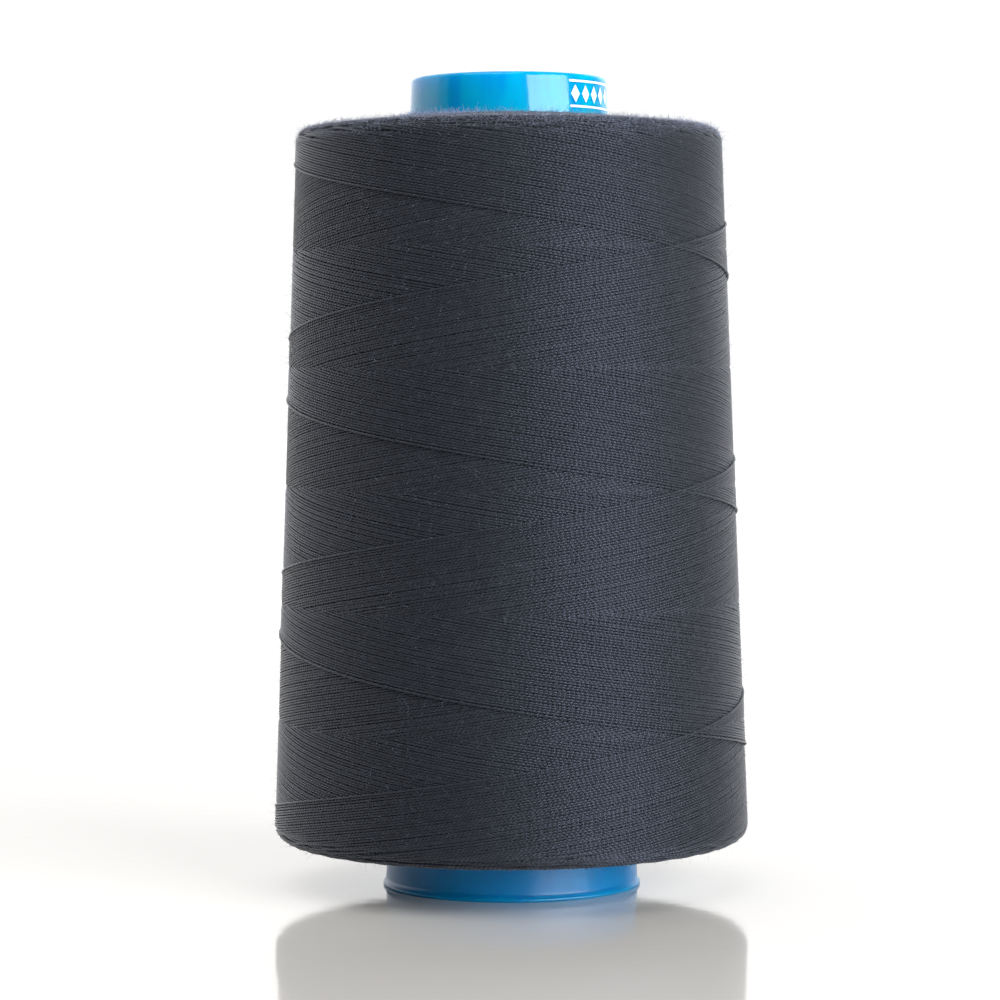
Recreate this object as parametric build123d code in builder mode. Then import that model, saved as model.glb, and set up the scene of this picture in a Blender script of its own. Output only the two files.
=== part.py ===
from build123d import *
from math import cos, radians, sin, sqrt
import os

# A large industrial thread spool: one continuous sewing thread cross-wound on a slim tapered
# plastic tube. Millimetres. The origin is the centre of the tube's foot, and +Z runs up the tube
# from its wide foot to its narrow nose. -Y is the front and +X is to its right.

# Tube
TUBE_HEIGHT = 114.0
FOOT_RADIUS = 17.9  # outside, at the foot
NOSE_RADIUS = 13.8  # outside, where the taper would meet the top
TUBE_WALL = 1.4
NOSE_ROUNDING = 0.6
NOSE_HOLE_RADIUS = 8.0
COLLAR_WALL = 1.2
COLLAR_LENGTH = 4.0  # from the top of the nose down
NOSE_WALL = 1.8  # thickness of the nose's flat ring
LIP_WIDTH = 0.35  # how far the foot's lip stands out
LIP_HEIGHT = 0.5
MOUTH_CHAMFER = 0.4
RIB_COUNT = 6  # short ribs that carry the nose ring
RIB_THICKNESS = 1.0
RIB_DROP = 5.0  # how far the ribs run down the wall

# Winding
WINDING_BOTTOM = 6.5
WINDING_LENGTH = 100.3  # along its side; its top end is a low cone
WINDING_BOTTOM_RADIUS = 33.7
WINDING_TOP_RADIUS = 30.0
BOTTOM_SHOULDER = 2.4
TOP_SHOULDER = 2.0
CROWN_RISE = 1.7  # how much higher the top end is at the tube than at its edge
LAYER_NAMES = ["inner_winding", "middle_winding", "outer_winding"]

# Starter wraps: the narrow bunch that pins the thread's first end to the tube
STARTER_BOTTOM = 8.0
STARTER_LENGTH = 5.0
STARTER_THICKNESS = 0.3

# Printed mark: a row of diamonds between two rules, on the tube just under the nose
MARK_ANGLE = 58.0  # degrees from the front, towards +X
INK_THICKNESS = 0.04
MARK_WIDTH = 10.0
RULE_HEIGHT = 0.3
LOWER_RULE_Z = 109.4
UPPER_RULE_Z = 112.9
DIAMOND_COUNT = 5
DIAMOND_WIDTH = 1.5
DIAMOND_HEIGHT = 2.4

os.makedirs("parts", exist_ok=True)

WINDING_TOP = WINDING_BOTTOM + WINDING_LENGTH
TAPER_PER_MM = (FOOT_RADIUS - NOSE_RADIUS) / TUBE_HEIGHT


def tube_radius(z):
    """Outside radius of the tube at height z."""
    return FOOT_RADIUS - TAPER_PER_MM * z


def full_radius(z):
    """Outside radius of the full winding at height z, before its shoulders are rounded."""
    share = (z - WINDING_BOTTOM) / WINDING_LENGTH
    return WINDING_BOTTOM_RADIUS + (WINDING_TOP_RADIUS - WINDING_BOTTOM_RADIUS) * share


def layer_radius(z, share_of_thread):
    """Outside radius at height z once that share of the thread is on the tube."""
    start, end = tube_radius(z) ** 2, full_radius(z) ** 2
    return sqrt(start + share_of_thread * (end - start))


def crown_point(share_of_thread):
    """Where that layer's outside meets the winding's top end, as a radius and a height."""
    if share_of_thread == 0:
        crown_z = WINDING_TOP + CROWN_RISE
        return tube_radius(crown_z), crown_z
    radius = layer_radius(WINDING_TOP, share_of_thread)
    inset = (WINDING_TOP_RADIUS - radius) / (WINDING_TOP_RADIUS - tube_radius(WINDING_TOP))
    return radius, WINDING_TOP + CROWN_RISE * inset


# Tube: tapered shell, nose ring turned down into a collar round the spindle hole, lipped foot
with BuildPart() as core_tube:
    with BuildSketch(Plane.XZ) as shell_profile:
        ceiling = TUBE_HEIGHT - NOSE_WALL
        with BuildLine():
            Polyline(
                (tube_radius(0) - TUBE_WALL + MOUTH_CHAMFER, 0),
                (tube_radius(0) + LIP_WIDTH, 0),
                (tube_radius(0) + LIP_WIDTH, LIP_HEIGHT),
                (tube_radius(2 * LIP_HEIGHT), 2 * LIP_HEIGHT),
                (tube_radius(TUBE_HEIGHT), TUBE_HEIGHT),
                (NOSE_HOLE_RADIUS, TUBE_HEIGHT),
                (NOSE_HOLE_RADIUS, TUBE_HEIGHT - COLLAR_LENGTH),
                (NOSE_HOLE_RADIUS + COLLAR_WALL, TUBE_HEIGHT - COLLAR_LENGTH),
                (NOSE_HOLE_RADIUS + COLLAR_WALL, ceiling),
                (tube_radius(ceiling) - TUBE_WALL, ceiling),
                (tube_radius(MOUTH_CHAMFER) - TUBE_WALL, MOUTH_CHAMFER),
                close=True,
            )
        make_face()
    revolve(axis=Axis.Z)
    rib_top = TUBE_HEIGHT - NOSE_WALL / 2
    rib_reach = tube_radius(rib_top) - TUBE_WALL / 2 - NOSE_HOLE_RADIUS - COLLAR_WALL / 2
    with PolarLocations(NOSE_HOLE_RADIUS + COLLAR_WALL / 2, RIB_COUNT, start_angle=90.0 / RIB_COUNT):
        with Locations((0, 0, rib_top)):
            Box(
                rib_reach,
                RIB_THICKNESS,
                RIB_DROP,
                align=(Align.MIN, Align.CENTER, Align.MAX),
            )
    top_rims = core_tube.edges().filter_by(GeomType.CIRCLE).group_by(Axis.Z)[-1].sort_by(SortBy.RADIUS)
    fillet(top_rims[-1], NOSE_ROUNDING)
    top_rims = core_tube.edges().filter_by(GeomType.CIRCLE).group_by(Axis.Z)[-1].sort_by(SortBy.RADIUS)
    fillet(top_rims[0], NOSE_ROUNDING / 2)
core_tube.part.label = "core_tube"
export_step(core_tube.part, "parts/core_tube.step")


# Starter wraps
with BuildPart() as starter_wraps:
    with BuildSketch(Plane.XZ):
        low, high = STARTER_BOTTOM, STARTER_BOTTOM + STARTER_LENGTH
        with BuildLine():
            Polyline(
                (tube_radius(low), low),
                (tube_radius(low) + STARTER_THICKNESS, low),
                (tube_radius(high) + STARTER_THICKNESS, high),
                (tube_radius(high), high),
                close=True,
            )
        make_face()
    revolve(axis=Axis.Z)
starter_wraps.part.label = "starter_wraps"
export_step(starter_wraps.part, "parts/starter_wraps.step")


def wind_layer(name, first_share, last_share):
    """One nested shell of the winding, between two shares of the thread's length."""
    with BuildPart() as layer:
        with BuildSketch(Plane.XZ):
            with BuildLine():
                Polyline(
                    (layer_radius(WINDING_BOTTOM, first_share), WINDING_BOTTOM),
                    (layer_radius(WINDING_BOTTOM, last_share), WINDING_BOTTOM),
                    crown_point(last_share),
                    crown_point(first_share),
                    close=True,
                )
            make_face()
        revolve(axis=Axis.Z)
        if first_share == 0:
            add(starter_wraps.part, mode=Mode.SUBTRACT)
        if last_share == 1:
            bottom_rim = layer.edges().group_by(Axis.Z)[0].sort_by(SortBy.RADIUS)[-1]
            fillet(bottom_rim, BOTTOM_SHOULDER)
            # the highest circle is the crown's inner edge, and the next is the rim
            top_rim = layer.edges().filter_by(GeomType.CIRCLE).sort_by(Axis.Z)[-2]
            fillet(top_rim, TOP_SHOULDER)
    layer.part.label = name
    export_step(layer.part, f"parts/{name}.step")
    return layer.part


layer_share = 1 / len(LAYER_NAMES)
for number, layer_name in enumerate(LAYER_NAMES):
    wind_layer(layer_name, number * layer_share, (number + 1) * layer_share)


# Printed mark: the ink film on the tube's surface, cut to the mark's outline
mark_plane = Plane(
    origin=(0, 0, 0),
    x_dir=(cos(radians(MARK_ANGLE)), sin(radians(MARK_ANGLE)), 0),
    z_dir=(sin(radians(MARK_ANGLE)), -cos(radians(MARK_ANGLE)), 0),
)
with BuildPart() as printed_mark:
    with BuildSketch(mark_plane):
        for rule_z in (LOWER_RULE_Z, UPPER_RULE_Z):
            with Locations((0, rule_z)):
                Rectangle(MARK_WIDTH, RULE_HEIGHT)
        diamond_pitch = MARK_WIDTH / DIAMOND_COUNT
        with Locations((0, (LOWER_RULE_Z + UPPER_RULE_Z) / 2)):
            with GridLocations(diamond_pitch, 1, DIAMOND_COUNT, 1):
                Polygon(
                    (DIAMOND_WIDTH / 2, 0),
                    (0, DIAMOND_HEIGHT / 2),
                    (-DIAMOND_WIDTH / 2, 0),
                    (0, -DIAMOND_HEIGHT / 2),
                )
    extrude(amount=FOOT_RADIUS)
    with BuildSketch(Plane.XZ):
        low, high = LOWER_RULE_Z - RULE_HEIGHT, UPPER_RULE_Z + RULE_HEIGHT
        with BuildLine():
            Polyline(
                (tube_radius(low), low),
                (tube_radius(low) + INK_THICKNESS, low),
                (tube_radius(high) + INK_THICKNESS, high),
                (tube_radius(high), high),
                close=True,
            )
        make_face()
    revolve(axis=Axis.Z, mode=Mode.INTERSECT)
printed_mark.part.label = "printed_mark"
export_step(printed_mark.part, "parts/printed_mark.step")
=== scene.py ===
"""A full industrial spool of dark sewing thread on a blue plastic tube, drawn around its CAD frame.

Everything is in metres, in the CAD frame: +Z runs up the tube, and -Y is the front. An angle on the
spool is counted from the front, positive towards +X.
"""

import math

import bpy
import numpy as np
from mathutils import Matrix, Vector


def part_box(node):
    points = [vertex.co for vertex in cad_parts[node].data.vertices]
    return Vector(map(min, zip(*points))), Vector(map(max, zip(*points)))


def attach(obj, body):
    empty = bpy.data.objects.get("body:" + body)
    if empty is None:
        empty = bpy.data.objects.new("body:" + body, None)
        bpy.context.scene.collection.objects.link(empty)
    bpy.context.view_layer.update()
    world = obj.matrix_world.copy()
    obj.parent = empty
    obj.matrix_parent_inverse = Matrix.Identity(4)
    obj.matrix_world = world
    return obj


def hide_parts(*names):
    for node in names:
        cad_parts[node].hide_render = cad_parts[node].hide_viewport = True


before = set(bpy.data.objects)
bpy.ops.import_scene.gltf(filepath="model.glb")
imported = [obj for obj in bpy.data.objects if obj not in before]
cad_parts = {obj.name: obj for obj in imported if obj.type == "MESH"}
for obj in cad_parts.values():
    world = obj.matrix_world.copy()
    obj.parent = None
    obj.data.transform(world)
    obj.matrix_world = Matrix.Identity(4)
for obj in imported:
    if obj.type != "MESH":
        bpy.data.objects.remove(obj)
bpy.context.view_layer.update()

MM = 0.001
TURN = 2 * math.pi

# ---------------------------------------------------------------- sizes, from the CAD frame

WINDING_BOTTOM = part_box("outer_winding")[0].z
TUBE_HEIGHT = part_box("core_tube")[1].z

# the rest as the CAD has it
FOOT_RADIUS = 17.9 * MM
NOSE_RADIUS = 13.8 * MM
WINDING_TOP = WINDING_BOTTOM + 100.3 * MM
WINDING_BOTTOM_RADIUS = 33.7 * MM
WINDING_TOP_RADIUS = 30.0 * MM
BOTTOM_SHOULDER = 2.4 * MM
TOP_SHOULDER = 2.0 * MM
CROWN_RISE = 1.7 * MM  # how much higher the winding's top is at the tube than at its edge

# ---------------------------------------------------------------- the thread and how it is wound

STRAND_RADIUS = 0.163 * MM
STRANDS = 91  # double strokes that cover the whole winding once
TURNS_PER_STROKE = 3
STEPS_PER_TURN = 96
STRAND_SIDES = 6
LAYER_DROP = 0.235 * MM  # a strand under another lies this much deeper
FRONTIER_STEP = 0.10 * MM  # how much the newest strands stand above the oldest
CROSSING_ANGLE = math.radians(45)  # where the newest strands cross at mid height
REVERSAL_SOFTNESS = 0.35 * MM
WRAP_PIECES = 5
SURFACE_DEPTH = 0.43 * MM  # how far under the winding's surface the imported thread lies
END_LOOP_PITCH = 0.33 * MM
END_LOOP_STEPS = 360
END_LOOP_SIDES = 5

# the first turns, on the tube and covered by the winding
STARTER_BOTTOM, STARTER_TOP = 8.0 * MM, 13.0 * MM
STARTER_THICKNESS = 0.3 * MM
STARTER_STEPS_PER_TURN = 64

# ---------------------------------------------------------------- how many loose fibres, and where

FIBRES_PER_PIECE = 7400
SIDE_FUZZ_PIECES = 2
SHOULDER_FUZZ_PIECES = 2
BOTTOM_FIBRES = 2200
WHISKERS = 1500
FIBRE_POINTS = 5
FIBRE_SIDES = 3
FIBRE_SINK = 0.12 * MM  # how deep in the thread a fibre starts
# the part of the side, below the top edge, that is brushed up too
SHOULDER_HEIGHTS = np.linspace(WINDING_TOP - 9 * MM, WINDING_TOP - 1.2 * MM, 20)

# ---------------------------------------------------------------- camera and light

CAMERA_DISTANCE = 468 * MM
CAMERA_HEIGHT = 73.9 * MM
CAMERA_LEFT = 1.4607 * MM  # of the spool's axis
CAMERA_PITCH = math.radians(2.3669)  # downwards
CAMERA_ROLL = 0.0039  # in radians
SENSOR_WIDTH = 36  # in millimetres, as Blender has it
FOCAL_LENGTH = 3.3 * SENSOR_WIDTH

FLOOR_SIZE = 6.0
FRONT_RADIANCE = 0.035
BACK_RADIANCE = 1.45
SEEN_RADIANCE = 1.05  # of the backdrop, as the camera sees it
BACKDROP_TURN = math.radians(-23)

rng = np.random.default_rng(7)


def tube_radius(z):
    return FOOT_RADIUS + (NOSE_RADIUS - FOOT_RADIUS) * z / TUBE_HEIGHT


def side_radius(z):
    """The winding's outside radius at height z, with no shoulders."""
    share = (z - WINDING_BOTTOM) / (WINDING_TOP - WINDING_BOTTOM)
    return WINDING_BOTTOM_RADIUS + (WINDING_TOP_RADIUS - WINDING_BOTTOM_RADIUS) * share


def crown_height(radius):
    """Height of the winding's top end, a low cone, at that radius."""
    inset = (WINDING_TOP_RADIUS - radius) / (WINDING_TOP_RADIUS - tube_radius(WINDING_TOP))
    return WINDING_TOP + CROWN_RISE * inset


def full_radius(z):
    """The winding's outside radius at height z, with its rounded shoulders."""
    z = np.asarray(z, float)
    radius = side_radius(z)
    top_edge = crown_height(WINDING_TOP_RADIUS - TOP_SHOULDER)
    for end, rounding, inward in ((WINDING_BOTTOM, BOTTOM_SHOULDER, 1), (top_edge, TOP_SHOULDER, -1)):
        depth = np.clip(rounding - (z - end) * inward, 0, rounding)
        radius = radius - (rounding - np.sqrt(np.maximum(rounding**2 - depth**2, 0)))
    return radius


def on_spool(radius, angle, z):
    return np.stack([radius * np.sin(angle), -radius * np.cos(angle), z], axis=-1)


# ---------------------------------------------------------------- mesh helpers


def make_object(name, vertices, faces, material, uv=None):
    """A mesh object from arrays: faces is a list of (k, n) index arrays with n corners each."""
    mesh = bpy.data.meshes.new(name)
    vertices = np.asarray(vertices, np.float32)
    mesh.vertices.add(len(vertices))
    mesh.vertices.foreach_set("co", vertices.ravel())
    corners = np.concatenate([f.ravel() for f in faces]).astype(np.int32)
    counts = np.concatenate([np.full(len(f), f.shape[1], np.int32) for f in faces])
    starts = np.concatenate([[0], np.cumsum(counts)[:-1]]).astype(np.int32)
    mesh.loops.add(len(corners))
    mesh.loops.foreach_set("vertex_index", corners)
    mesh.polygons.add(len(counts))
    mesh.polygons.foreach_set("loop_start", starts)
    mesh.polygons.foreach_set("loop_total", counts)
    mesh.polygons.foreach_set("use_smooth", np.ones(len(counts), bool))
    if uv is not None:
        layer = mesh.uv_layers.new(name="strand")
        layer.data.foreach_set("uv", np.asarray(uv, np.float32).ravel())
    mesh.update()
    mesh.validate()
    obj = bpy.data.objects.new(name, mesh)
    bpy.context.scene.collection.objects.link(obj)
    mesh.materials.append(material)
    return obj


def tubes(paths, normals, radii, sides):
    """Closed round tubes along paths of one length, all arrays (tube, point, 3): vertices, faces and UVs.
    The UVs are millimetres along the tube, and turns round it."""
    paths = np.asarray(paths, float)
    count, points = paths.shape[:2]
    tangent = np.gradient(paths, axis=1)
    tangent /= np.linalg.norm(tangent, axis=2, keepdims=True)
    side = np.cross(tangent, normals)
    side /= np.linalg.norm(side, axis=2, keepdims=True)
    up = np.cross(side, tangent)
    turn = np.arange(sides) / sides * TURN
    radii = np.broadcast_to(np.asarray(radii, float), (count, points))[..., None, None]
    ring = np.cos(turn)[:, None] * up[:, :, None] + np.sin(turn)[:, None] * side[:, :, None]
    vertices = paths[:, :, None] + radii * ring
    index = np.arange(count * points * sides).reshape(count, points, sides)
    here, after = index[:, :-1], index[:, 1:]
    quads = np.stack([here, np.roll(here, -1, 2), np.roll(after, -1, 2), after], -1).reshape(-1, 4)
    caps = np.concatenate([index[:, 0, ::-1], index[:, -1]])
    length = np.linalg.norm(np.diff(paths, axis=1), axis=2).cumsum(1) / MM
    length = np.concatenate([np.zeros((count, 1)), length], axis=1)
    u = np.broadcast_to(length[:, :, None], (count, points, sides))
    v = np.broadcast_to(np.arange(sides) / sides, (count, points, sides))
    u0, u1, v0 = u[:, :-1], u[:, 1:], v[:, :-1]
    v1 = v0 + 1 / sides
    corners = ((u0, v0), (u0, v1), (u1, v1), (u1, v0))
    quad_uv = np.stack([np.stack(corner, -1) for corner in corners], axis=3).reshape(-1, 2)
    cap_uv = np.zeros((caps.size, 2))
    return vertices.reshape(-1, 3), [quads, caps], np.concatenate([quad_uv, cap_uv])


def lathe(name, profile, segments, material):
    """A solid of revolution about Z. profile is (radius, z) points in order round the section."""
    profile = np.asarray(profile, float)
    angle = np.arange(segments) / segments * TURN
    heights = np.broadcast_to(profile[:, 1:], (len(profile), segments))
    rings = on_spool(profile[:, None, 0], angle[None, :], heights)
    here = np.arange(len(profile) * segments).reshape(len(profile), segments)
    after = np.roll(here, -1, 0)
    quads = np.stack([here, np.roll(here, -1, 1), np.roll(after, -1, 1), after], -1).reshape(-1, 4)
    return make_object(name, rings.reshape(-1, 3), [quads], material)


def arc(centre, radius, start, end, steps):
    """Points of a round corner in a section, angles in degrees from the outward direction."""
    turn = np.radians(np.linspace(start, end, steps))
    return [(centre[0] + radius * math.cos(a), centre[1] + radius * math.sin(a)) for a in turn]


def path_lengths(points):
    """Distance along a line of points, at each point."""
    return np.concatenate([[0], np.linalg.norm(np.diff(points, axis=0), axis=1).cumsum()])


def along_profile(profile, at):
    """Radius and height at distances along a section's line."""
    distance = path_lengths(profile)
    return np.interp(at, distance, profile[:, 0]), np.interp(at, distance, profile[:, 1])


def unit(vectors):
    return vectors / np.linalg.norm(vectors, axis=-1, keepdims=True)


def finish_piece(obj, slot, *nodes):
    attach(obj, "root")
    if nodes:
        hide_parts(*nodes)


# ---------------------------------------------------------------- materials


def new_material(name):
    material = bpy.data.materials.new(name)
    material.use_nodes = True
    tree = material.node_tree
    tree.nodes.clear()
    output = tree.nodes.new("ShaderNodeOutputMaterial")
    shader = tree.nodes.new("ShaderNodeBsdfPrincipled")
    tree.links.new(shader.outputs["BSDF"], output.inputs["Surface"])
    return material, tree, shader


def grey(value):
    return (value, value, value, 1)


def ramp(tree, factor, stops):
    node = tree.nodes.new("ShaderNodeValToRGB")
    node.color_ramp.elements[0].position, node.color_ramp.elements[0].color = stops[0]
    node.color_ramp.elements[1].position, node.color_ramp.elements[1].color = stops[-1]
    for position, colour in stops[1:-1]:
        element = node.color_ramp.elements.new(position)
        element.color = colour
    tree.links.new(factor, node.inputs["Fac"])
    return node.outputs["Color"]


def noise(tree, coordinates, scale, detail=2.0, roughness=0.5):
    node = tree.nodes.new("ShaderNodeTexNoise")
    node.inputs["Scale"].default_value = scale
    node.inputs["Detail"].default_value = detail
    node.inputs["Roughness"].default_value = roughness
    tree.links.new(coordinates, node.inputs["Vector"])
    return node.outputs["Fac"]


def math_node(tree, operation, a, b):
    node = tree.nodes.new("ShaderNodeMath")
    node.operation = operation
    for socket, value in zip(node.inputs, (a, b)):
        if isinstance(value, (int, float)):
            socket.default_value = value
        else:
            tree.links.new(value, socket)
    return node.outputs[0]


def bump(tree, height, strength, distance):
    node = tree.nodes.new("ShaderNodeBump")
    node.inputs["Strength"].default_value = strength
    node.inputs["Distance"].default_value = distance
    tree.links.new(height, node.inputs["Height"])
    return node.outputs["Normal"]


def thread_material():
    """Spun polyester, dark blue-grey: three plies twisted together, with a soft bluish sheen."""
    material, tree, shader = new_material("spun_polyester")
    uv = tree.nodes.new("ShaderNodeUVMap")
    uv.uv_map = "strand"
    split = tree.nodes.new("ShaderNodeSeparateXYZ")
    tree.links.new(uv.outputs["UV"], split.inputs["Vector"])
    plies, lay_length = 3, 1.9  # a ply goes once round the thread in so many millimetres
    along = math_node(tree, "MULTIPLY", split.outputs["X"], TURN * plies / lay_length)
    around = math_node(tree, "MULTIPLY", split.outputs["Y"], TURN * plies)
    ply = math_node(tree, "SINE", math_node(tree, "ADD", along, around), 0)
    position = tree.nodes.new("ShaderNodeTexCoord").outputs["Object"]
    fibres = noise(tree, position, 9000, 2.0, 0.6)
    slubs = noise(tree, position, 700, 3.0, 0.6)
    fine_tone = math_node(tree, "MULTIPLY", fibres, 0.45)
    coarse_tone = math_node(tree, "MULTIPLY", slubs, 0.55)
    # painted shade and highlight: the ply twist makes the colour lighter on the crests and darker in the
    # grooves between plies
    painted_ply_shade = math_node(tree, "MULTIPLY", ply, 0.12)
    tone = math_node(tree, "ADD", math_node(tree, "ADD", fine_tone, coarse_tone), painted_ply_shade)
    colour = ramp(tree, tone, [
        (0.30, (0.0065, 0.0068, 0.0075, 1)),
        (0.52, (0.0112, 0.0114, 0.0128, 1)),
        (0.78, (0.0245, 0.0258, 0.0312, 1)),
    ])
    tree.links.new(colour, shader.inputs["Base Color"])
    height = math_node(tree, "ADD", math_node(tree, "MULTIPLY", ply, 0.6), fibres)
    tree.links.new(bump(tree, height, 0.8, 0.05 * MM), shader.inputs["Normal"])
    shader.inputs["Roughness"].default_value = 0.32
    shader.inputs["Specular IOR Level"].default_value = 0.5
    shader.inputs["Specular Tint"].default_value = (0.60, 0.71, 1.0, 1)
    shader.inputs["Sheen Weight"].default_value = 0.15
    shader.inputs["Sheen Roughness"].default_value = 0.45
    shader.inputs["Sheen Tint"].default_value = (0.80, 0.86, 1.0, 1)
    return material


def packed_thread_material():
    """The same thread under the top strands, where only the gaps between them show it, painted lighter
    than the top thread: painted light that lightens the shade in those gaps.
    """
    material, tree, shader = new_material("packed_thread_painted_lighter")
    position = tree.nodes.new("ShaderNodeTexCoord").outputs["Object"]
    # painted light: lighter than the top thread's own colour, so the gaps between strands show less shade
    colour = ramp(tree, noise(tree, position, 2500, 3.0, 0.6), [
        (0.3, (0.012, 0.013, 0.016, 1)),
        (0.7, (0.030, 0.033, 0.042, 1)),
    ])
    tree.links.new(colour, shader.inputs["Base Color"])
    tree.links.new(bump(tree, noise(tree, position, 3500), 0.5, 0.05 * MM), shader.inputs["Normal"])
    shader.inputs["Roughness"].default_value = 0.85
    shader.inputs["Specular IOR Level"].default_value = 0.3
    return material


def fibre_material(name, colour):
    """Single fibres that stand off the thread, painted paler than it: painted light for the light that
    shines through such thin fibres.
    """
    material, tree, shader = new_material(name)
    position = tree.nodes.new("ShaderNodeTexCoord").outputs["Object"]
    darker = tuple(c * 0.6 for c in colour) + (1,)
    shade = ramp(tree, noise(tree, position, 900), [(0.35, darker), (0.65, tuple(colour) + (1,))])
    tree.links.new(shade, shader.inputs["Base Color"])
    shader.inputs["Roughness"].default_value = 0.5
    shader.inputs["Sheen Weight"].default_value = 0.4
    shader.inputs["Sheen Roughness"].default_value = 0.4
    return material


def tube_material():
    """Glossy blue polypropylene, translucent. Its base colour is painted lighter towards the nose, where
    nothing is wound on it and light gets in, and darker at the foot: painted glow and painted shade. Faint
    streaks follow the flow of the moulding."""
    material, tree, shader = new_material("blue_polypropylene")
    position = tree.nodes.new("ShaderNodeTexCoord").outputs["Object"]
    stretch = tree.nodes.new("ShaderNodeMapping")
    stretch.inputs["Scale"].default_value = (1.0, 1.0, 0.15)
    tree.links.new(position, stretch.inputs["Vector"])
    streaks = noise(tree, stretch.outputs["Vector"], 260, 3.0, 0.55)
    split = tree.nodes.new("ShaderNodeSeparateXYZ")
    tree.links.new(position, split.inputs["Vector"])
    height = math_node(tree, "DIVIDE", split.outputs["Z"], TUBE_HEIGHT)
    uneven = math_node(tree, "MULTIPLY", math_node(tree, "SUBTRACT", streaks, 0.5), 0.25)
    # painted glow and painted shade: the base colour grows lighter with height, towards the nose, and is
    # darkest at the foot
    colour = ramp(tree, math_node(tree, "ADD", height, uneven), [
        (0.00, (0.000, 0.205, 0.490, 1)),
        (0.12, (0.000, 0.240, 0.560, 1)),
        (0.85, (0.000, 0.370, 0.640, 1)),
        (0.95, (0.000, 0.385, 0.655, 1)),
        (1.00, (0.000, 0.310, 0.640, 1)),
    ])
    tree.links.new(colour, shader.inputs["Base Color"])
    # the foot is scuffed by the stand
    scuffing = ramp(tree, height, [(0.10, grey(0.32)), (0.85, grey(0.10))])
    tree.links.new(scuffing, shader.inputs["Roughness"])
    tree.links.new(bump(tree, streaks, 0.05, 0.05 * MM), shader.inputs["Normal"])
    shader.inputs["IOR"].default_value = 1.5
    shader.inputs["Specular IOR Level"].default_value = 0.38
    shader.inputs["Subsurface Weight"].default_value = 1.0
    shader.inputs["Subsurface Radius"].default_value = (0.15, 1.0, 1.25)
    shader.inputs["Subsurface Scale"].default_value = 3 * MM
    return material


def ink_material():
    """White print: thin, satin, slightly uneven."""
    material, tree, shader = new_material("white_ink")
    position = tree.nodes.new("ShaderNodeTexCoord").outputs["Object"]
    colour = ramp(tree, noise(tree, position, 2200), [
        (0.25, (0.60, 0.72, 0.84, 1)),
        (0.45, (0.84, 0.89, 0.93, 1)),
    ])
    tree.links.new(colour, shader.inputs["Base Color"])
    shader.inputs["Roughness"].default_value = 0.4
    return material


def floor_material():
    """Polished acrylic, a warm off-white, with a barely uneven surface."""
    material, tree, shader = new_material("white_acrylic")
    position = tree.nodes.new("ShaderNodeTexCoord").outputs["Object"]
    colour = ramp(tree, noise(tree, position, 3.0), [
        (0.3, (0.71, 0.675, 0.64, 1)),
        (0.7, (0.74, 0.705, 0.67, 1)),
    ])
    tree.links.new(colour, shader.inputs["Base Color"])
    tree.links.new(bump(tree, noise(tree, position, 260, 2.0), 0.25, 0.05 * MM), shader.inputs["Normal"])
    shader.inputs["Roughness"].default_value = 0.08
    shader.inputs["IOR"].default_value = 1.5
    return material


THREAD = thread_material()
LIGHTENED_PACKED_THREAD = packed_thread_material()
TUBE_PLASTIC = tube_material()
INK = ink_material()
# painted light: every fibre colour is paler than the thread, for light shining through the thin fibres
FUZZ = fibre_material("loose_fibre", (0.13, 0.145, 0.21))
# painted backlight: the shoulder fibres are a paler copy of the side fibres
PAINTED_BACKLIT_SHOULDER_FUZZ = fibre_material("shoulder_fibre_painted_backlight", (0.27, 0.30, 0.44))
# painted backlight: the whiskers by the nose are a much brighter, bluer copy of the fibre colour
PAINTED_BACKLIT_FUZZ = fibre_material("painted_backlit_fibre", (0.38, 0.50, 0.85))

# ---------------------------------------------------------------- camera


def make_camera():
    data = bpy.data.cameras.new("camera")
    data.sensor_width = SENSOR_WIDTH
    data.lens = FOCAL_LENGTH
    camera = bpy.data.objects.new("camera", data)
    bpy.context.scene.collection.objects.link(camera)
    camera.matrix_world = (
        Matrix.Translation((-CAMERA_LEFT, -CAMERA_DISTANCE, CAMERA_HEIGHT))
        @ Matrix.Rotation(math.pi / 2 - CAMERA_PITCH, 4, "X")
        @ Matrix.Rotation(-CAMERA_ROLL, 4, "Z")
    )
    bpy.context.scene.camera = camera


make_camera()

# ---------------------------------------------------------------- the winding's last layers


def soft_floor(value, floor, softness):
    """The larger of value and floor, with a rounded corner between them."""
    return floor + softness * np.logaddexp(0, (value - floor) / softness)


def wandering_ends(height, time, low, high):
    """Where the thread turns back wanders a little from stroke to stroke."""
    ends = rng.uniform(0.0, 1.3, (2, STRANDS + 2)) ** 1.5 * MM
    double = np.clip(np.floor(time + 0.5).astype(int) + STRANDS, 0, STRANDS)
    single = np.clip(np.floor(time).astype(int) + STRANDS, 0, STRANDS)
    height = soft_floor(height, low + ends[0][double], REVERSAL_SOFTNESS)
    return -soft_floor(-height, ends[1][single] - high, REVERSAL_SOFTNESS)


def lift_over_crossings(time, turned, rise, going_up):
    """How much a strand lies above or below the surface, because later strands lie on top.

    What counts is how long ago each family of strands last passed a place, as a share of the time in
    which the whole winding is covered."""
    age_up = (turned / TURN - TURNS_PER_STROKE * rise) % 1
    age_down = (turned / TURN - TURNS_PER_STROKE * (2 - rise)) % 1
    mine = -time / STRANDS
    other = np.where(going_up, age_down, age_up)
    under = (other < mine).astype(float)
    lift = FRONTIER_STEP * ((1 - mine) + (1 - other) - 1) - LAYER_DROP * under
    reach = 3
    kernel = np.hanning(2 * reach + 1)
    return np.convolve(np.pad(lift, reach, mode="edge"), kernel / kernel.sum(), mode="valid")


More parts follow.
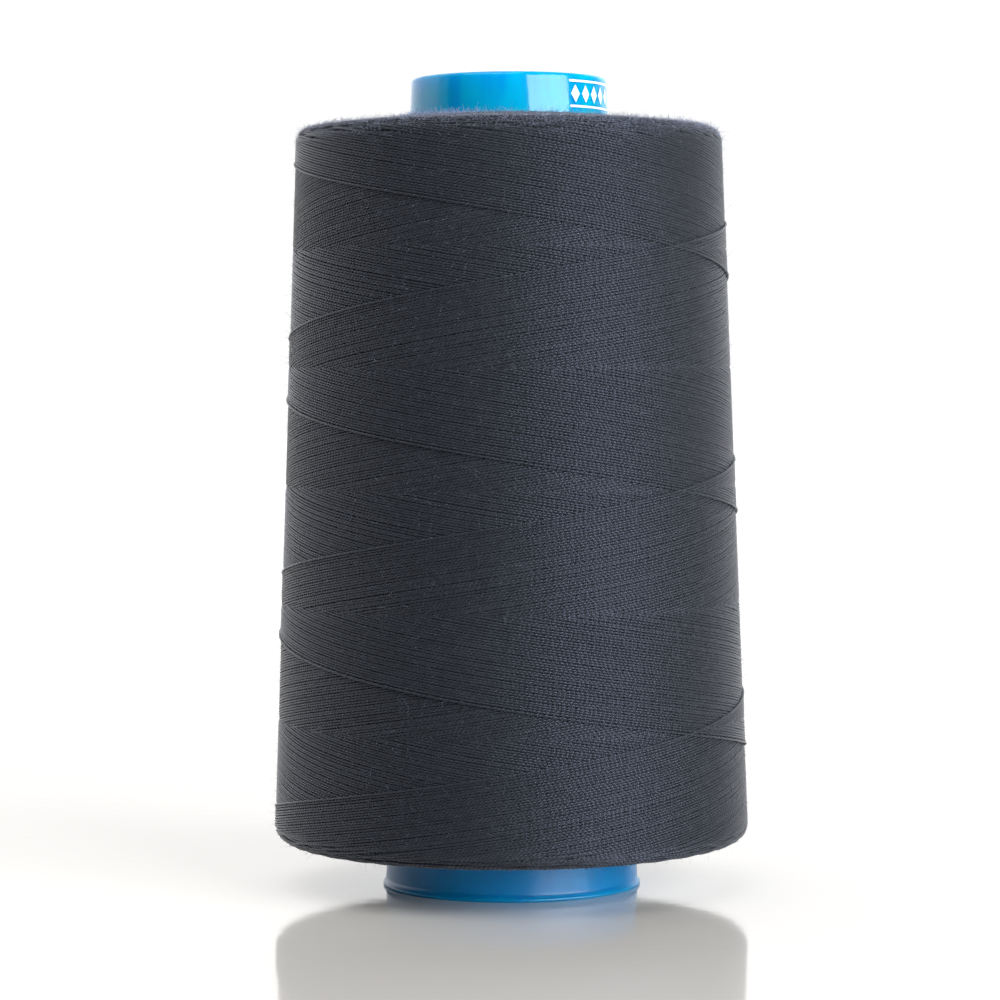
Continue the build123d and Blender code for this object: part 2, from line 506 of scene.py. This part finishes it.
def strand_drift(stroke, steps):
    """Each strand lies a little off its place, and a few far enough to leave a gap beside them."""
    spread, stray, stray_share, knot_spacing = 0.022, 0.08, 0.06, 400
    drift = rng.normal(0, spread, 2 * STRANDS + 2)
    strays = rng.random(drift.size) < stray_share
    drift += np.where(strays, rng.choice([-stray, stray], drift.size), 0)
    knots = np.arange(0, steps + knot_spacing, knot_spacing)
    slow = np.interp(np.arange(steps + 1), knots, rng.normal(0, spread, len(knots)))
    return (drift[stroke - stroke.min()] + slow) * MM


def wound_thread():
    """The last double strokes of the thread as one path: angle, height and radius.

    The spool turns steadily while the guide runs up and down, so the thread climbs three turns, reverses
    and comes down three, and each double stroke falls one strand short of a whole number of turns."""
    steps = STRANDS * 2 * TURNS_PER_STROKE * STEPS_PER_TURN
    time = np.arange(steps + 1) / steps * STRANDS - STRANDS  # in double strokes, 0 is the loose end
    turns = (2 * TURNS_PER_STROKE - 1 / STRANDS) * time
    start_angle = CROSSING_ANGLE - math.pi
    angle = start_angle + TURN * turns
    stroke = np.floor(time * 2).astype(int)
    rise = 2 * np.abs(((time + 0.5) % 1) - 0.5)  # 0 at the bottom, 1 at the top
    low, high = WINDING_BOTTOM + 0.8 * MM, WINDING_TOP - 0.5 * MM
    height = wandering_ends(low + (high - low) * rise, time, low, high)
    lift = lift_over_crossings(time, angle - start_angle, rise, stroke % 2 == 0)

    # the drift fades out towards both ends
    fade_length = 3 * MM
    fade = np.clip((height - low) / fade_length, 0, 1) * np.clip((high - height) / fade_length, 0, 1)
    height = height + strand_drift(stroke, steps) * fade

    # the newest strands are slack, and bulge most on two opposite sides
    slack_strokes, least_slack, bulge, bulge_turn = 1.6, 0.10, 0.16, 0.4
    fresh = np.clip(1 + time / slack_strokes, 0, 1)
    slack = fresh * (least_slack + bulge * np.sin(angle - bulge_turn) ** 2) * MM
    radius = full_radius(height) - STRAND_RADIUS + lift + slack
    return angle, height, radius


def surface_normals(angle, height):
    step, steepest = 0.05 * MM, 6
    slope = (full_radius(height + step) - full_radius(height - step)) / (2 * step)
    slope = np.clip(slope, -steepest, steepest)
    return unit(on_spool(np.ones_like(angle), angle, -slope))


def make_wraps():
    angle, height, radius = wound_thread()
    points = on_spool(radius, angle, height)
    normals = surface_normals(angle, height)
    edges = np.linspace(0, len(points) - 1, WRAP_PIECES + 1).astype(int)
    for number, (first, last) in enumerate(zip(edges[:-1], edges[1:]), start=1):
        part = slice(first, last + 1)
        vertices, faces, uv = tubes(points[None, part], normals[None, part], STRAND_RADIUS, STRAND_SIDES)
        wraps = make_object(f"thread_wraps_{number}", vertices, faces, THREAD, uv)
        finish_piece(wraps, "thread")


make_wraps()

# ---------------------------------------------------------------- the thread below, and the winding's ends


def layer_radius(z, share):
    """As in the CAD: outside radius once that share of the thread is wound."""
    start, end = tube_radius(z) ** 2, side_radius(z) ** 2
    return math.sqrt(start + share * (end - start))


def make_packed_layers():
    """The three layers of the CAD, drawn as packed thread, a little below the top strands."""
    names = ("inner_winding", "middle_winding", "outer_winding")
    heights = np.linspace(WINDING_BOTTOM + SURFACE_DEPTH, WINDING_TOP - SURFACE_DEPTH, 160)
    gap = 0.05 * MM
    for number, node in enumerate(names):
        first, last = number / len(names), (number + 1) / len(names)
        inside = [(layer_radius(z, first), z) for z in heights]
        if node == "inner_winding":
            room = STARTER_THICKNESS + gap
            inside = [(r + gap + room * (STARTER_BOTTOM <= z <= STARTER_TOP), z) for r, z in inside]
        limits = full_radius(heights) - SURFACE_DEPTH
        outside = [(min(layer_radius(z, last), limit), z) for z, limit in zip(heights, limits)]
        edge_in, edge_out = inside[-1][0], outside[-1][0]
        radii = np.linspace(edge_out - 0.2 * MM, edge_in, 8)
        crown = [(r, crown_height(r) - SURFACE_DEPTH) for r in radii]
        packed = lathe(f"packed_{node}", outside + crown + inside[::-1], 192, LIGHTENED_PACKED_THREAD)
        finish_piece(packed, "thread", node)


make_packed_layers()


def flat_end(radius):
    return np.full_like(radius, WINDING_BOTTOM)


def end_profile(top):
    """Points along the winding's end, from the shoulder in to the tube, as radius and height."""
    if top:
        rounding, outside, face, sign = TOP_SHOULDER, WINDING_TOP_RADIUS, crown_height, 1
        inside = tube_radius(WINDING_TOP)
    else:
        rounding, outside, face, sign = BOTTOM_SHOULDER, WINDING_BOTTOM_RADIUS, flat_end, -1
        inside = tube_radius(WINDING_BOTTOM)
    turn = np.radians(np.linspace(30, 90, 24))
    flat = np.linspace(outside - rounding, inside + 0.1 * MM, 120)
    corner_z = face(flat[:1]) - sign * rounding * (1 - np.sin(turn))
    r = np.concatenate([flat[0] + rounding * np.cos(turn), flat[1:]])
    z = np.concatenate([corner_z, face(flat[1:])])
    return np.stack([r, z], 1), sign


def make_end_loops(top):
    """The reversals of every layer, which show on the winding's end as rings of short, crossing arcs."""
    wander, scallop, dip, cover, probe = 0.10 * MM, 0.07 * MM, 0.09 * MM, 0.02 * MM, 0.02 * MM
    profile, sign = end_profile(top)
    width = path_lengths(profile)[-1]
    share = np.arange(END_LOOP_STEPS + 1) / END_LOOP_STEPS
    paths, normals = [], []
    for ring in range(int(width / END_LOOP_PITCH)):
        place = (ring + 0.5) * END_LOOP_PITCH + rng.normal(0, 0.03) * MM
        angle = (share + rng.random()) * TURN
        waves = rng.integers(3, 9, 3)
        phases = rng.uniform(0, TURN, 3)
        drift = sum(np.sin(angle * w + p) for w, p in zip(waves, phases)) * wander
        scallops = rng.integers(34, 46)
        wave = np.sin(angle * scallops + rng.uniform(0, TURN))
        at = np.clip(place + drift + scallop * wave, 0, width)
        r, z = along_profile(profile, at)
        r_before, z_before = along_profile(profile, at - probe)
        r_after, z_after = along_profile(profile, at + probe)
        dr, dz = r_after - r_before, z_after - z_before
        size = np.maximum(np.hypot(dr, dz), 1e-9)
        out_r, out_z = sign * dz / size, -sign * dr / size
        dips = 0.5 + 0.5 * np.sin(angle * scallops + rng.uniform(0, TURN))
        sink = STRAND_RADIUS + cover + dip * dips
        paths.append(on_spool(r - out_r * sink, angle, z - out_z * sink))
        normals.append(on_spool(out_r, angle, out_z))
    vertices, faces, uv = tubes(np.array(paths), np.array(normals), STRAND_RADIUS, END_LOOP_SIDES)
    name = "top_end_loops" if top else "bottom_end_loops"
    finish_piece(make_object(name, vertices, faces, THREAD, uv), "thread")


make_end_loops(True)
make_end_loops(False)


def make_starter_wraps():
    """The thread's first turns, side by side on the tube, which hold its end."""
    spacing = 2.4 * STRAND_RADIUS
    turns = int((STARTER_TOP - STARTER_BOTTOM) / spacing)
    angle = np.linspace(0, turns * TURN, turns * STARTER_STEPS_PER_TURN + 1)
    z = np.linspace(STARTER_BOTTOM + STRAND_RADIUS, STARTER_TOP - STRAND_RADIUS, len(angle))
    path = on_spool(tube_radius(z) + STRAND_RADIUS, angle, z)
    normals = on_spool(np.ones_like(angle), angle, np.zeros_like(angle))
    vertices, faces, uv = tubes(path[None], normals[None], STRAND_RADIUS, STRAND_SIDES)
    finish_piece(make_object("starter_coil", vertices, faces, THREAD, uv), "thread", "starter_wraps")


make_starter_wraps()

# ---------------------------------------------------------------- loose fibres


def fibres(name, roots, normals, lengths, thickness, lean, material):
    """Short curled fibres that stand off the thread. A larger lean lays them down more."""
    count = len(roots)
    curliness, tip = 0.55, 0.45  # how far a fibre bends off its start, and its tip's share of thickness
    random = rng.normal(size=(count, 3))
    along = random - np.sum(random * normals, axis=1, keepdims=True) * normals
    start = unit(normals + lean * along)
    curl = rng.normal(0, curliness, (count, 3))
    t = np.linspace(0, 1, FIBRE_POINTS)[None, :, None]
    reach = lengths[:, None, None]
    paths = roots[:, None] + reach * (start[:, None] * t + curl[:, None] * t**2)
    across = np.cross(start, rng.normal(size=(count, 3)))
    across = np.broadcast_to(across[:, None], paths.shape)
    taper = np.linspace(1, tip, FIBRE_POINTS)[None] * thickness[:, None]
    vertices, faces, uv = tubes(paths, across, taper, FIBRE_SIDES)
    finish_piece(make_object(name, vertices, faces, material, uv), "thread")


def make_side_fuzz():
    count = FIBRES_PER_PIECE
    for piece in range(SIDE_FUZZ_PIECES):
        angle = rng.uniform(0, TURN, count)
        z = rng.uniform(WINDING_BOTTOM + 1.2 * MM, WINDING_TOP - 1.0 * MM, count)
        normals = surface_normals(angle, z)
        roots = on_spool(full_radius(z) - FIBRE_SINK, angle, z)
        lengths = rng.gamma(2.4, 0.20, count).clip(0.15, 1.2) * MM
        thickness = rng.uniform(0.009, 0.015, count) * MM
        fibres(f"side_fuzz_{piece + 1}", roots, normals, lengths, thickness, 1.2, FUZZ)


def make_end_fuzz(name, top, count):
    profile, sign = end_profile(top)
    width = path_lengths(profile)[-1]
    at = rng.uniform(0, 1, count) ** 1.3 * width
    r, z = along_profile(profile, at)
    outward = np.clip(1 - at / (TOP_SHOULDER * 1.4), 0, 1)
    angle = rng.uniform(0, TURN, count)
    normals = unit(on_spool(outward, angle, np.full(count, float(sign))))
    roots = on_spool(r, angle, z) - 0.15 * MM * normals
    lengths = rng.gamma(2.4, 0.17, count).clip(0.2, 0.9) * MM
    thickness = rng.uniform(0.010, 0.018, count) * MM
    fibres(name, roots, normals, lengths, thickness, 1.0, FUZZ)


def make_shoulder_fuzz():
    """The top edge of the winding is the most handled part, so it is the most brushed up. Its fibres are
    painted paler than those on the side: painted backlight along the top edge.
    """
    side = np.stack([full_radius(SHOULDER_HEIGHTS), SHOULDER_HEIGHTS], 1)
    corner = path_lengths(side)[-1]
    profile = np.concatenate([side, end_profile(True)[0]])
    count = FIBRES_PER_PIECE
    for piece in range(SHOULDER_FUZZ_PIECES):
        at = (corner + rng.normal(2.2, 1.5, count) * MM).clip(0, corner + 12 * MM)
        angle = rng.uniform(0, TURN, count)
        r, z = along_profile(profile, at)
        upward = np.clip(0.5 + (at - corner) / (TOP_SHOULDER * 1.6), 0, 1)
        normals = unit(on_spool(1.15 - upward, angle, upward))
        roots = on_spool(r, angle, z) - FIBRE_SINK * normals
        lengths = rng.gamma(2.6, 0.13, count).clip(0.15, 0.7) * MM
        thickness = rng.uniform(0.014, 0.024, count) * MM
        fibres(f"shoulder_fuzz_{piece + 1}", roots, normals, lengths, thickness, 1.8, PAINTED_BACKLIT_SHOULDER_FUZZ)


def make_whiskers():
    """Fibres that curl up beside the nose, most of them at the front, on its left, painted brighter and
    bluer than the others: painted backlight.
    """
    middle, spread = -55, 24
    angle = np.radians(rng.normal(middle, spread, WHISKERS))
    radius = rng.uniform(14.1, 17.5, WHISKERS) * MM
    roots = on_spool(radius, angle, crown_height(radius) - 0.1 * MM)
    normals = np.tile((0.0, 0.0, 1.0), (WHISKERS, 1))
    lengths = rng.uniform(0.25, 0.75, WHISKERS) * MM
    thickness = rng.uniform(0.018, 0.028, WHISKERS) * MM
    fibres("nose_whiskers", roots, normals, lengths, thickness, 2.4, PAINTED_BACKLIT_FUZZ)


make_side_fuzz()
make_end_fuzz("top_fuzz", True, FIBRES_PER_PIECE)
make_end_fuzz("bottom_fuzz", False, BOTTOM_FIBRES)
make_shoulder_fuzz()
make_whiskers()

# ---------------------------------------------------------------- tube


def make_tube():
    """The moulded tube in section: foot lip, tapered wall, rounded nose and the collar round its hole."""
    wall = 1.4 * MM
    nose_rounding = 0.6 * MM
    hole, collar_wall, collar = 8.0 * MM, 1.2 * MM, 4.0 * MM
    ceiling = TUBE_HEIGHT - 1.8 * MM
    lip, lip_height = 0.35 * MM, 0.5 * MM
    inner_rounding = nose_rounding / 2
    bevel, inner_bevel = 0.1 * MM, 0.2 * MM
    rim, collar_foot, outside = FOOT_RADIUS + lip, TUBE_HEIGHT - collar, hole + collar_wall
    wall_heights = np.linspace(2.4 * lip_height, TUBE_HEIGHT - nose_rounding * 1.02, 40)
    bore_heights = np.linspace(ceiling - 2 * inner_bevel, 2 * inner_bevel, 30)
    nose_edge = (tube_radius(TUBE_HEIGHT) - nose_rounding, TUBE_HEIGHT - nose_rounding)
    hole_edge = (hole + inner_rounding, TUBE_HEIGHT - inner_rounding)
    profile = [
        (FOOT_RADIUS - wall + 2 * inner_bevel, 0),
        (rim - bevel, 0),
        (rim, bevel),
        (rim, lip_height - 1.2 * bevel),
        (rim - bevel, lip_height),
        (tube_radius(2 * lip_height) + 0.2 * bevel, 1.8 * lip_height),
    ]
    profile += [(tube_radius(z), z) for z in wall_heights]
    profile += arc(nose_edge, nose_rounding, 6, 90, 12)
    profile += arc(hole_edge, inner_rounding, 90, 180, 8)
    profile += [
        (hole, collar_foot + bevel),
        (hole + bevel, collar_foot),
        (outside - bevel, collar_foot),
        (outside, collar_foot + bevel),
        (outside, ceiling - inner_bevel),
        (outside + inner_bevel, ceiling),
        (tube_radius(ceiling) - wall - inner_bevel, ceiling),
        (tube_radius(ceiling) - wall, ceiling - inner_bevel),
    ]
    profile += [(tube_radius(z) - wall, z) for z in bore_heights]
    tube = lathe("tube_moulding", profile, 320, TUBE_PLASTIC)
    finish_piece(tube, "tube_plastic", "core_tube")


make_tube()
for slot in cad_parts["printed_mark"].material_slots:
    slot.material = INK

# ---------------------------------------------------------------- floor and light


def make_floor():
    bpy.ops.mesh.primitive_plane_add(size=FLOOR_SIZE, location=(0, 0, 0))
    floor = bpy.context.object
    floor.name = "floor"
    floor.data.materials.append(floor_material())


def softbox(name, azimuth, elevation, distance, size, power, colour):
    """A rectangular light aimed at the middle of the spool. Its angles are in degrees."""
    data = bpy.data.lights.new(name, "AREA")
    data.shape = "RECTANGLE"
    data.size, data.size_y = size
    data.energy = power
    data.color = colour
    light = bpy.data.objects.new(name, data)
    bpy.context.scene.collection.objects.link(light)
    target = Vector((0, 0, TUBE_HEIGHT / 2))
    a, e = math.radians(azimuth), math.radians(elevation)
    direction = Vector((math.sin(a) * math.cos(e), -math.cos(a) * math.cos(e), math.sin(e)))
    light.location = target + distance * direction
    light.rotation_euler = (target - light.location).to_track_quat("-Z", "Y").to_euler()
    light.visible_camera = False


def make_world():
    """A white backdrop behind the spool, a dark studio in front of it, and white for the camera."""
    world = bpy.data.worlds.new("white_studio")
    world.use_nodes = True
    tree = world.node_tree
    behind = tree.nodes.new("ShaderNodeVectorMath")
    behind.operation = "DOT_PRODUCT"
    behind.inputs[1].default_value = (math.sin(BACKDROP_TURN), math.cos(BACKDROP_TURN), 0)
    direction = tree.nodes.new("ShaderNodeTexCoord").outputs["Generated"]
    tree.links.new(direction, behind.inputs[0])
    edge = ramp(tree, behind.outputs["Value"], [
        (0.15, grey(FRONT_RADIANCE / BACK_RADIANCE)),
        (0.19, grey(0.28)),
        (0.33, grey(0.38)),
        (0.48, grey(1.0)),
    ])
    lit = math_node(tree, "MULTIPLY", edge, BACK_RADIANCE)
    path = tree.nodes.new("ShaderNodeLightPath")
    strength = tree.nodes.new("ShaderNodeMix")
    strength.data_type = "FLOAT"
    strength.inputs["B"].default_value = SEEN_RADIANCE
    tree.links.new(path.outputs["Is Camera Ray"], strength.inputs["Factor"])
    tree.links.new(lit, strength.inputs["A"])
    background = tree.nodes["Background"]
    background.inputs["Color"].default_value = (1.0, 1.0, 1.0, 1)
    tree.links.new(strength.outputs["Result"], background.inputs["Strength"])
    bpy.context.scene.world = world


make_floor()
make_world()
softbox("key_softbox", azimuth=48, elevation=6, distance=0.80, size=(0.74, 0.85), power=20,
        colour=(0.92, 0.97, 1.0))
softbox("overhead_softbox", azimuth=-35, elevation=62, distance=0.75, size=(0.6, 0.6), power=2.1,
        colour=(1.0, 0.97, 0.94))
bpy.context.scene.view_settings.view_transform = "Standard"
